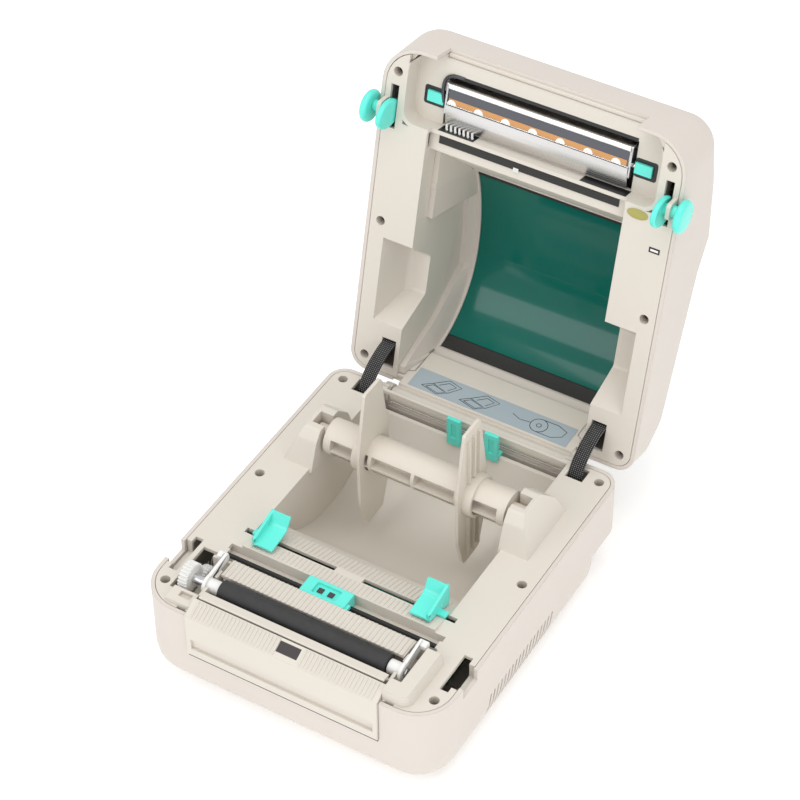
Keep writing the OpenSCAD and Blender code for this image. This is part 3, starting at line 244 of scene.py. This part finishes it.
looks["pearl"] = plain("pearl", (0.86, 0.84, 0.80), 0.25)
looks["seal"] = plain("seal", (0.022, 0.021, 0.020), 0.6)
looks["board"] = plain("board", (0.01, 0.16, 0.06), 0.35)
looks["motor"] = plain("motor", (0.03, 0.03, 0.03), 0.4)
looks["lamp"] = plain("lamp", (0.45, 0.85, 0.50), 0.15)
print("materials made")

dressing = {
    "shell": ["lower_case"],
    "lidOutside": ["lid_shell"],
    "lidInside": ["lid_frame"],
    "deck": ["base_deck", "front_cover", "tear_bar"],
    "holder": ["spindle", "flange_left", "flange_right"],
    "teal": ["guide_left", "guide_right", "sensor_carriage", "fanfold_left", "fanfold_right", "head_clips",
             "feed_button", "latch_left", "latch_right"],
    "white": ["platen_gear", "idler_gear", "guide_pinion", "bushing_left", "bushing_right", "ribbon_cable"],
    "steel": ["platen_shaft", "hinge_pins", "motor_bracket", "head_springs", "usb_port"],
    "rod": ["sensor_rail"],
    "bright": ["head_bracket"],
    "brushed": ["head_plate"],
    "ceramic": ["head_strip"],
    "rubber": ["platen_rubber", "rubber_feet"],
    "black": ["dc_inlet", "power_switch", "lid_sensor"],
    "smoke": ["cover_window", "sensor_eyes"],
    "seal": ["upper_sensor", "window_seals"],
    "window": ["lid_window"],
    "braid": ["sleeve_left", "sleeve_right"],
    "screw": ["deck_screws", "lid_screws"],
    "board": ["main_board"],
    "motor": ["stepper_motor"],
    "brass": ["motor_pinion"],
    "label": ["lid_label"],
    "olive": ["seal_label"],
    "lamp": ["status_lamp"],
}
# width in metres that the edges of a moulding are rounded by
roundings = {
    "guide_left": 0.0004, "guide_right": 0.0004, "bushing_left": 0.0004, "bushing_right": 0.0004,
    "fanfold_left": 0.0003, "fanfold_right": 0.0003, "sensor_carriage": 0.0003, "head_clips": 0.0003,
    "head_bracket": 0.0006, "platen_rubber": 0.0005, "feed_button": 0.0006,
}


def smoothing(angle):  # joins loose corners and shades across edges flatter than the angle
    made = bpy.data.node_groups.new("smoothing", "GeometryNodeTree")
    made.interface.new_socket("Geometry", in_out="INPUT", socket_type="NodeSocketGeometry")
    made.interface.new_socket("Geometry", in_out="OUTPUT", socket_type="NodeSocketGeometry")
    start, merge, faces, bend, steep, edges, end = [made.nodes.new(kind) for kind in (
        "NodeGroupInput", "GeometryNodeMergeByDistance", "GeometryNodeSetShadeSmooth",
        "GeometryNodeInputMeshEdgeAngle", "FunctionNodeCompare", "GeometryNodeSetShadeSmooth",
        "NodeGroupOutput")]
    merge.inputs["Distance"].default_value = 0.00001
    faces.domain, edges.domain, steep.operation = "FACE", "EDGE", "GREATER_THAN"
    faces.inputs["Shade Smooth"].default_value = True
    edges.inputs["Shade Smooth"].default_value = False
    steep.inputs["B"].default_value = math.radians(angle)
    for out, into in ((start.outputs[0], merge.inputs[0]), (merge.outputs[0], faces.inputs[0]),
                      (faces.outputs[0], edges.inputs[0]), (edges.outputs[0], end.inputs[0]),
                      (bend.outputs[0], steep.inputs["A"]), (steep.outputs[0], edges.inputs["Selection"])):
        made.links.new(out, into)
    return made


def dressEdges(name, group):
    nodes[name].modifiers.new("smooth", "NODES").node_group = group
    if name in roundings:
        rounding = nodes[name].modifiers.new("rounding", "BEVEL")
        rounding.width, rounding.segments, rounding.limit_method = roundings[name], 3, "ANGLE"
        rounding.angle_limit, rounding.use_clamp_overlap = math.radians(40), False
    weighted = nodes[name].modifiers.new("weighted", "WEIGHTED_NORMAL")
    weighted.keep_sharp, weighted.weight = True, 100


smoothEdges = smoothing(32)
for name in nodes:
    dressEdges(name, smoothEdges)
for look, names in dressing.items():
    for name in names:
        nodes[name].data.materials.clear()
        nodes[name].data.materials.append(looks[look])
print("solids dressed")


def lone(made):  # the one object that is selected
    bpy.ops.object.select_all(action="DESELECT")
    made.select_set(True)
    bpy.context.view_layer.objects.active = made


def settle(made):  # the place goes into the mesh
    lone(made)
    bpy.ops.object.transform_apply(location=True, rotation=True, scale=True)
    return made


def block(name, low, high):  # from corner to corner, in mm
    bpy.ops.object.select_all(action="DESELECT")
    low, high = Vector(low) / 1000, Vector(high) / 1000
    bpy.ops.mesh.primitive_cube_add(size=1, location=(low + high) / 2)
    made = bpy.context.object
    made.name = name
    made.scale = high - low
    return settle(made)


def edit(made, pick, kind="FACE"):  # edit mode with the faces, edges or corners that pick accepts
    lone(made)
    bpy.ops.object.mode_set(mode="EDIT")
    bpy.ops.mesh.select_mode(type=kind)
    bpy.ops.mesh.select_all(action="DESELECT")
    mesh = bmesh.from_edit_mesh(made.data)
    for part in {"FACE": mesh.faces, "EDGE": mesh.edges, "VERT": mesh.verts}[kind]:
        part.select_set(pick(part))
    mesh.select_flush_mode()
    bmesh.update_edit_mesh(made.data)


def done():
    bpy.ops.object.mode_set(mode="OBJECT")


def shift(vector):  # of what is selected, in mm
    bpy.ops.transform.translate(value=Vector(vector) / 1000)


def push(vector):  # extrudes the selected faces, in mm
    bpy.ops.mesh.extrude_region_move(TRANSFORM_OT_translate={"value": Vector(vector) / 1000})


def joined(parts, name):
    bpy.ops.object.select_all(action="DESELECT")
    for part in parts:
        part.select_set(True)
    bpy.context.view_layer.objects.active = parts[0]
    bpy.ops.object.join()
    parts[0].name = name
    return parts[0]


def mirrored(low, high, side):  # the two corners of a block on the left (-1) or the right (1)
    xs = sorted((side * low[0], side * high[0]))
    return (xs[0], *low[1:]), (xs[1], *high[1:])


def along(axis):  # picks the edges that run along an axis: 0, 1 or 2
    return lambda edge: abs((edge.verts[0].co - edge.verts[1].co).normalized()[axis]) > 0.9


def sided(name, side):
    return name + ("_right" if side > 0 else "_left")


def rounded(made, width, segments=3, pick=lambda edge: True):
    edit(made, pick, "EDGE")
    bpy.ops.mesh.bevel(offset=width / 1000, segments=segments, affect="EDGES")
    done()
    return made


def finish(made, body, *names, swung=False):  # swung pieces were drawn in the shut lid
    if swung:
        made.matrix_world = (Matrix.Translation(hinge) @ Matrix.Rotation(openAngle, 4, "X")
                             @ Matrix.Translation(-hinge) @ made.matrix_world)
        settle(made)
    lone(made)
    bpy.ops.object.shade_smooth_by_angle(angle=math.radians(35))
    for name in names:
        if not any(slot.material == looks[name] for slot in made.material_slots):
            made.data.materials.append(looks[name])
    if body:
        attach(made, body)
    return made


def tube(name, paths, radius, resolution=3):  # round lines through points in mm, as one mesh
    line = bpy.data.curves.new(name, "CURVE")
    line.dimensions = "3D"
    line.bevel_depth = radius / 1000
    line.bevel_resolution = resolution
    line.use_fill_caps = True
    for path in paths:
        spline = line.splines.new("POLY")
        spline.points.add(len(path) - 1)
        for point, place in zip(spline.points, path):
            point.co = (*(Vector(place) / 1000), 1)
    made = bpy.data.objects.new(name, line)
    bpy.context.collection.objects.link(made)
    lone(made)
    bpy.ops.object.convert(target="MESH")
    return bpy.context.object


def through(points, steps=6):  # smooth course through a few points
    points = [Vector(p) for p in points]
    points = [2 * points[0] - points[1], *points, 2 * points[-1] - points[-2]]
    course = []
    for a, b, c, d in zip(points, points[1:], points[2:], points[3:]):
        for i in range(steps):
            t = i / steps
            course.append(0.5 * (2 * b + (c - a) * t + (2 * a - 5 * b + 4 * c - d) * t ** 2
                                 + (3 * b - a - 3 * c + d) * t ** 3))
    return course + [points[-2]]


# braided sleeves of the wires between base and lid, in mm
sleeve = dict(centre=73.9, width=9.2, thickness=1.8, puff=0.7, course=[
    (0, 100, 33), (0, 100, 50), (0, 100.6, 61), (0, 104.2, 69), (0, 112.6, 75.6), (0, 123, 79.6),
    (0, 131.4, 80.6), (0, 137.4, 79.4)])


def makeSleeve(side, centre, width, thickness, puff, course):
    course = through(course, 5)
    bpy.ops.object.select_all(action="DESELECT")
    start = course[0] / 1000 + Vector((centre * side / 1000, 0, 0))
    bpy.ops.mesh.primitive_plane_add(size=width / 1000, location=start)
    made = bpy.context.object
    made.name = sided("sleeve", side) + "_braid"
    settle(made)
    middle = course[0].y / 1000
    edit(made, lambda corner: corner.co.y > middle, "VERT")
    bpy.ops.mesh.delete(type="VERT")
    bpy.ops.mesh.select_all(action="SELECT")
    shift((0, width / 2, 0))
    for before, after in zip(course, course[1:]):
        bpy.ops.mesh.extrude_edges_move(TRANSFORM_OT_translate={"value": (after - before) / 1000})
    done()
    wall = made.modifiers.new("wall", "SOLIDIFY")
    wall.thickness, wall.offset, wall.use_even_offset = thickness / 1000, 0, True
    edge = made.modifiers.new("edge", "BEVEL")
    edge.width, edge.segments, edge.limit_method, edge.angle_limit = puff / 1000, 3, "ANGLE", math.radians(50)
    lone(made)
    for name in ("wall", "edge"):
        bpy.ops.object.modifier_apply(modifier=name)
    edit(made, lambda face: True)
    bpy.ops.mesh.normals_make_consistent(inside=False)
    done()
    finish(made, None, "braid")
    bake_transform(made)
    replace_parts(made, "sleeve_right" if side > 0 else "sleeve_left")


for side in (-1, 1):
    makeSleeve(side, **sleeve)
print("sleeves made")

# print head trim in the shut lid, in mm
headTrim = dict(film=((-59, -84.2, 75.2), (59, -80.5, 75.4)), firstDrop=-56.8, dropStep=18.2, drops=7,
                dropRadius=3.1, dropDepth=0.3, dropAt=(-80.45, 75.05),
                endPlate=((60.45, -93.4, 75.6), (61.5, -72.8, 85.6)), plateRim=1.2, plateDish=0.4)


def makeHeadTrim(film, firstDrop, dropStep, drops, dropRadius, dropDepth, dropAt, endPlate, plateRim,
                 plateDish):
    strip = rounded(block("head_film", *film), 0.08, 1)
    finish(strip, "print_head", "amber", swung=True)
    parts = []
    for i in range(drops):
        bpy.ops.object.select_all(action="DESELECT")
        at = Vector((firstDrop + dropStep * i, *dropAt)) / 1000
        bpy.ops.mesh.primitive_cylinder_add(vertices=36, radius=dropRadius / 1000, depth=dropDepth / 1000,
                                            location=at)
        drop = settle(bpy.context.object)
        edit(drop, lambda face: True)
        bpy.ops.mesh.bisect(plane_co=at, plane_no=(0, 1, 0), use_fill=True, clear_outer=True)
        done()
        low = at.z - 0.0001
        rounded(drop, 0.12, 2, lambda edge: all(corner.co.z < low for corner in edge.verts))
        parts.append(drop)
    finish(joined(parts, "head_drops"), "print_head", "pearl", swung=True)
    for side in (-1, 1):
        plate = block(sided("head_end", side), *mirrored(*endPlate, side))
        edit(plate, lambda face: face.normal.x * side > 0.9)
        bpy.ops.mesh.inset(thickness=plateRim / 1000)
        push((-plateDish * side, 0, 0))
        done()
        rounded(plate, 0.9, 3, lambda edge: along(0)(edge) and all(point.co.z < 0.08 for point in edge.verts))
        finish(plate, "print_head", "steel", swung=True)


makeHeadTrim(**headTrim)

# steel shield behind the film, spring arm, wires and the places round the head with black sheets of painted
# shade, in mm
headAround = dict(
    shield=((-60.4, -79.8, 74.3), (60.4, -66.0, 74.7)), shieldRise=2.8,
    arm=[(-63.2, -79, 77.8), (-64.6, -86, 77.6), (-64.2, -93, 77.8), (-60.5, -96.8, 78.2),
         (-52, -97.6, 79.4)],
    bridge=((-37, -72.0, 79.3), (33, -64.45, 80.6)), shade=((-60, -98.2, 78.86), (62.5, -96.0, 79.0)),
    holeShades=[((-61.5, -64.22, 70.7), (-37.5, -64.0, 79.0)), ((33.5, -64.22, 70.7), (63.5, -64.0, 79.0))],
    clipFrame=((62.9, -86.5, 78.8), (77.2, -74.4, 79.0)), wires=7, firstWire=-60.2, wireStep=2.9,
    wireRadius=0.75, wire=[(0.9, -70.5, 80.6), (0.5, -67.6, 79.0), (1.0, -65.8, 77.4), (2.4, -65.05, 74.8),
                           (3.6, -65.0, 72.9)])


def makeHeadAround(shield, shieldRise, arm, bridge, shade, holeShades, clipFrame, wires, firstWire, wireStep,
                   wireRadius, wire):
    plate = block("head_shield", *shield)
    middle = (shield[0][1] + shield[1][1]) / 2000
    edit(plate, lambda corner: corner.co.y > middle, "VERT")
    shift((0, 0, shieldRise))
    done()
    rounded(plate, 0.15, 2)
    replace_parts(finish(plate, "print_head", "brushed", swung=True), "head_plate")
    finish(tube("head_arm", [through(arm)], 1.1), "lid", "screw", swung=True)
    finish(rounded(block("recess_bridge", *bridge), 0.3), "lid", "deck", swung=True)
    # painted shade: black sheets on the recess floor and in the gaps beside the bridge stand in for the shade
    # of the hollow round the head
    finish(rounded(block("recess_shade", *shade), 0.05, 1), "lid", "black", swung=True)
    for i, holeShade in enumerate(holeShades):
        finish(rounded(block("recess_hole_" + str(i + 1), *holeShade), 0.08, 1), "lid", "black", swung=True)
    for side in (-1, 1):
        place = rounded(block(sided("clip_frame", side), *mirrored(*clipFrame, side)), 1.6, 4, along(2))
        finish(place, "lid", "black", swung=True)
    courses = [through([(firstWire + wireStep * i + x, y, z) for x, y, z in wire]) for i in range(wires)]
    fan = finish(tube("wire_fan", courses, wireRadius), "print_head", "white", swung=True)
    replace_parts(fan, "ribbon_cable")


makeHeadAround(**headAround)
print("print head dressed")

# small sensors of the lid, in mm
lidEye = dict(low=(85.1, -41.2, 66.15), high=(92.1, -37.7, 66.6), frame=0.8, sink=0.15)


def makeLidEye(low, high, frame, sink):
    made = rounded(block("lid_sensor_frame", low, high), 0.2, 1)
    finish(made, None, "black", "pearl")
    edit(made, lambda face: face.normal.z < -0.9)
    bpy.ops.mesh.inset(thickness=frame / 1000)
    push((0, 0, sink))
    made.active_material_index = 1
    bpy.ops.object.material_slot_assign()
    done()
    finish(made, "lid", swung=True)
    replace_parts(made, "lid_sensor")


makeLidEye(**lidEye)

# small white tab on the sensor strip, in mm
sensorTab = dict(low=(-9.3, -57.2, 70.7), high=(-5.9, -54.9, 71.3), frame=0.7, sink=0.4)


def makeSensorTab(low, high, frame, sink):
    tab = block("sensor_tab", low, high)
    edit(tab, lambda face: face.normal.z < -0.9)
    bpy.ops.mesh.inset(thickness=frame / 1000)
    push((0, 0, sink))
    done()
    finish(tab, "lid", "white", swung=True)


makeSensorTab(**sensorTab)

# oval seal, in mm
seal = dict(at=(74.5, -58.5, 66.2), radii=(6.8, 3.23), thickness=0.2, rounding=0.08)


def makeSeal(at, radii, thickness, rounding):
    bpy.ops.object.select_all(action="DESELECT")
    bpy.ops.mesh.primitive_cylinder_add(vertices=48, radius=0.001, depth=thickness / 1000,
                                        location=Vector(at) / 1000)
    oval = bpy.context.object
    oval.name = "seal_oval"
    oval.scale = (*radii, 1)
    settle(oval)
    rounded(oval, rounding, 2, lambda edge: all(corner.co.z < at[2] / 1000 for corner in edge.verts))
    finish(oval, "lid", "olive", swung=True)
    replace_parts(oval, "seal_label")


makeSeal(**seal)

# lips that close the view into the case, and a black strip of painted shadow in the gap under the cover, in
# mm
lips = dict(mouth=((-65.2, -109.6, 80.4), (65.2, -107.2, 82.4)),
            rear=((-61.0, 109.9, 48.6), (61.0, 111.8, 52.1)),
            gap=((-63.9, -112.3, 33.0), (63.9, -112.02, 35.1)))


def makeLips(mouth, rear, gap):
    finish(rounded(block("mouth_lip", *mouth), 0.3), "lid", "deck", swung=True)
    finish(rounded(block("rear_lip", *rear), 0.3), "base", "deck")
    finish(rounded(block("cover_shadow_gap", *gap), 0.1, 1), "base", "rod")


makeLips(**lips)

# small pieces that close open seams of the lid frame, in mm
seams = dict(wall=((62.55, -23.4, 80.6), (66.0, -19.7, 118.0)), lean=4.5,
             corner=((76.3, -110.2, 67.5), (83.9, -101.6, 68.2)), cutBack=(4.1, -5.0), lift=1.9)


def makeSeams(wall, lean, corner, cutBack, lift):
    inner = corner[0][0] / 1000 + 0.001, corner[1][1] / 1000 - 0.001
    for side in (-1, 1):
        strip = block(sided("wall_fill", side), *mirrored(*wall, side))
        edit(strip, lambda point: point.co.z > wall[0][2] / 1000 + 0.001, "VERT")
        shift((-side * lean, 0, 0))
        done()
        finish(strip, "lid", "deck", swung=True)
        plate = block(sided("corner_fill", side), *mirrored(*corner, side))
        edit(plate, lambda point: True, "VERT")
        shift((0, 0, 0 if side > 0 else lift))  # clear of the block on the left of the deck
        done()
        edit(plate, lambda point: abs(point.co.x) < inner[0] and point.co.y > inner[1], "VERT")
        shift((side * cutBack[0], cutBack[1], 0))
        done()
        finish(plate, "lid", "deck", swung=True)


makeSeams(**seams)

# latches in the shut lid, in mm: place across, centre, half depth and half height, rounding
latch = dict(lever=((101.2, 106.0), (-69.2, 61.6), (10.2, 10.7), 2.3),
             hook=((88.9, 92.9), (-68.4, 60.6), (9.2, 12.6), 1.5),
             axle=((90, 101), (-70.5, 62.0), (3.4, 3.4), 0.2), rim=2.6, dish=0.8)


def makeLatch(side, lever, hook, axle, rim, dish):
    parts = []
    for xs, at, radii, rounding in (lever, hook, axle):
        bpy.ops.object.select_all(action="DESELECT")
        bpy.ops.mesh.primitive_cylinder_add(vertices=48, radius=0.001, depth=(xs[1] - xs[0]) / 1000,
                                            rotation=(0, math.pi / 2, 0))
        part = settle(bpy.context.object)
        part.scale = (1, *radii)
        part.location = Vector((side * sum(xs) / 2, *at)) / 1000
        settle(part)
        if radii == hook[2]:  # the hook is dished and leaves a raised rim
            edit(part, lambda face: face.normal.x * side > 0.9)
            bpy.ops.mesh.inset(thickness=rim / 1000)
            shift((-dish * side, 0, 0))
            done()
        rounded(part, rounding, 4, lambda edge: not along(0)(edge) and edge.calc_face_angle(0) > 0.8)
        parts.append(part)
    name = sided("latch", side)
    joined(parts, name + "_oval")
    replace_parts(finish(parts[0], name, "teal", swung=True), name)


for side in (-1, 1):
    makeLatch(side, **latch)

# line figures on the label in the shut lid, in mm: two open boxes and a roll
openBox = [[(0, 3), (12, 0), (18, 4), (6, 7.5), (0, 3)],
           [(18, 4), (24, 12), (14, 14.5), (6, 7.5)],
           [(3, 3.2), (12.4, 1), (16.2, 4), (6.8, 6.4), (3, 3.2)],
           [(17, 6), (20.6, 11), (15, 12.4), (10, 7.8)]]
figures = dict(foot=(109.2, 62), slope=(-0.2446, 0.9696), lift=0.12, pen=0.26, box=openBox,
               boxesAt=(-48, -21), boxUp=2.6, roll=(33, 10), rollRadii=(5.6, 1.5), lines=[
                   [(27.4, 10), (20, 9), (14, 11.5)],
                   [(33, 4.4), (44, 4.4), (50, 8), (51, 13), (44, 15.8), (33, 15.6)]])


def ring(centre, radius):
    turns = [math.radians(angle) for angle in range(0, 361, 12)]
    return [(centre[0] + radius * math.cos(turn), centre[1] + radius * math.sin(turn)) for turn in turns]


def makeFigures(foot, slope, lift, pen, box, boxesAt, boxUp, roll, rollRadii, lines):
    drawn = [[(left + x, boxUp + y) for x, y in line] for left in boxesAt for line in box]
    drawn += [ring(roll, radius) for radius in rollRadii] + lines
    placed = [[(x, foot[0] + slope[0] * up - lift * slope[1], foot[1] + slope[1] * up + lift * slope[0])
               for x, up in line] for line in drawn]
    finish(tube("label_figures", placed, pen, 1), "lid", "ink", swung=True)


makeFigures(**figures)
print("lid trim made")

# camera: degrees round and above the object, roll, and where it stands in metres
view = dict(azimuth=31.26, elevation=43.60, roll=-0.72, lens=119.46, at=(0.5675, -0.9134, 1.1984))


def camera(azimuth, elevation, roll, lens, at):
    az, el, turn = math.radians(azimuth), math.radians(elevation), math.radians(roll)
    back = Vector((math.sin(az) * math.cos(el), -math.cos(az) * math.cos(el), math.sin(el)))
    right = Vector((0, 0, 1)).cross(back).normalized()
    up = back.cross(right)
    across = math.cos(turn) * right + math.sin(turn) * up
    above = math.cos(turn) * up - math.sin(turn) * right
    bpy.ops.object.camera_add(location=at)
    made = bpy.context.object
    made.rotation_euler = Matrix((across, above, back)).transposed().to_euler()
    made.data.lens = lens
    made.data.sensor_width = 36
    made.data.clip_start = 0.05
    bpy.context.scene.camera = made


def lamp(name, at, size, power, aim):
    bpy.ops.object.light_add(type="AREA", location=at)
    made = bpy.context.object
    made.name = name
    made.rotation_euler = (Vector(at) - Vector(aim)).to_track_quat("Z", "Y").to_euler()
    made.data.shape = "RECTANGLE"
    made.data.size, made.data.size_y = size
    made.data.energy = power


# studio in metres and watts: area lamps, white surroundings and a pale floor that glows a little
light = dict(aim=(0, 0.03, 0.08), surroundings=0.79, floorSize=12, floorDrop=0.0002, floorGlow=0.22,
             lamps=[("key", (-0.7, -1.4, 1.3), (1.0, 1.0), 7), ("top", (0.1, 0.0, 1.7), (1.2, 1.2), 9),
                    ("fill", (1.4, -0.9, 0.7), (1.0, 0.8), 5)])


def studio(aim, surroundings, floorSize, floorDrop, floorGlow, lamps):
    bpy.ops.mesh.primitive_plane_add(size=floorSize, location=(0, 0, -floorDrop))
    floor = bpy.context.object
    floor.name = "floor"
    made = Shader("floor", roughness=0.6, emission_strength=floorGlow)
    made.put(made.surface.inputs["Emission Color"], (1, 1, 1))
    made.colour(made.blend(made.noise(3.0), (0.93, 0.93, 0.93), (0.96, 0.96, 0.96)))
    floor.data.materials.append(made.material)
    world = bpy.data.worlds.new("studio")
    world.use_nodes = True
    world.node_tree.nodes["Background"].inputs[0].default_value = (1, 1, 1, 1)
    world.node_tree.nodes["Background"].inputs[1].default_value = surroundings
    bpy.context.scene.world = world
    for one in lamps:
        lamp(*one, aim)
    bpy.context.scene.view_settings.view_transform = "Standard"


camera(**view)
studio(**light)
print("camera and studio set")
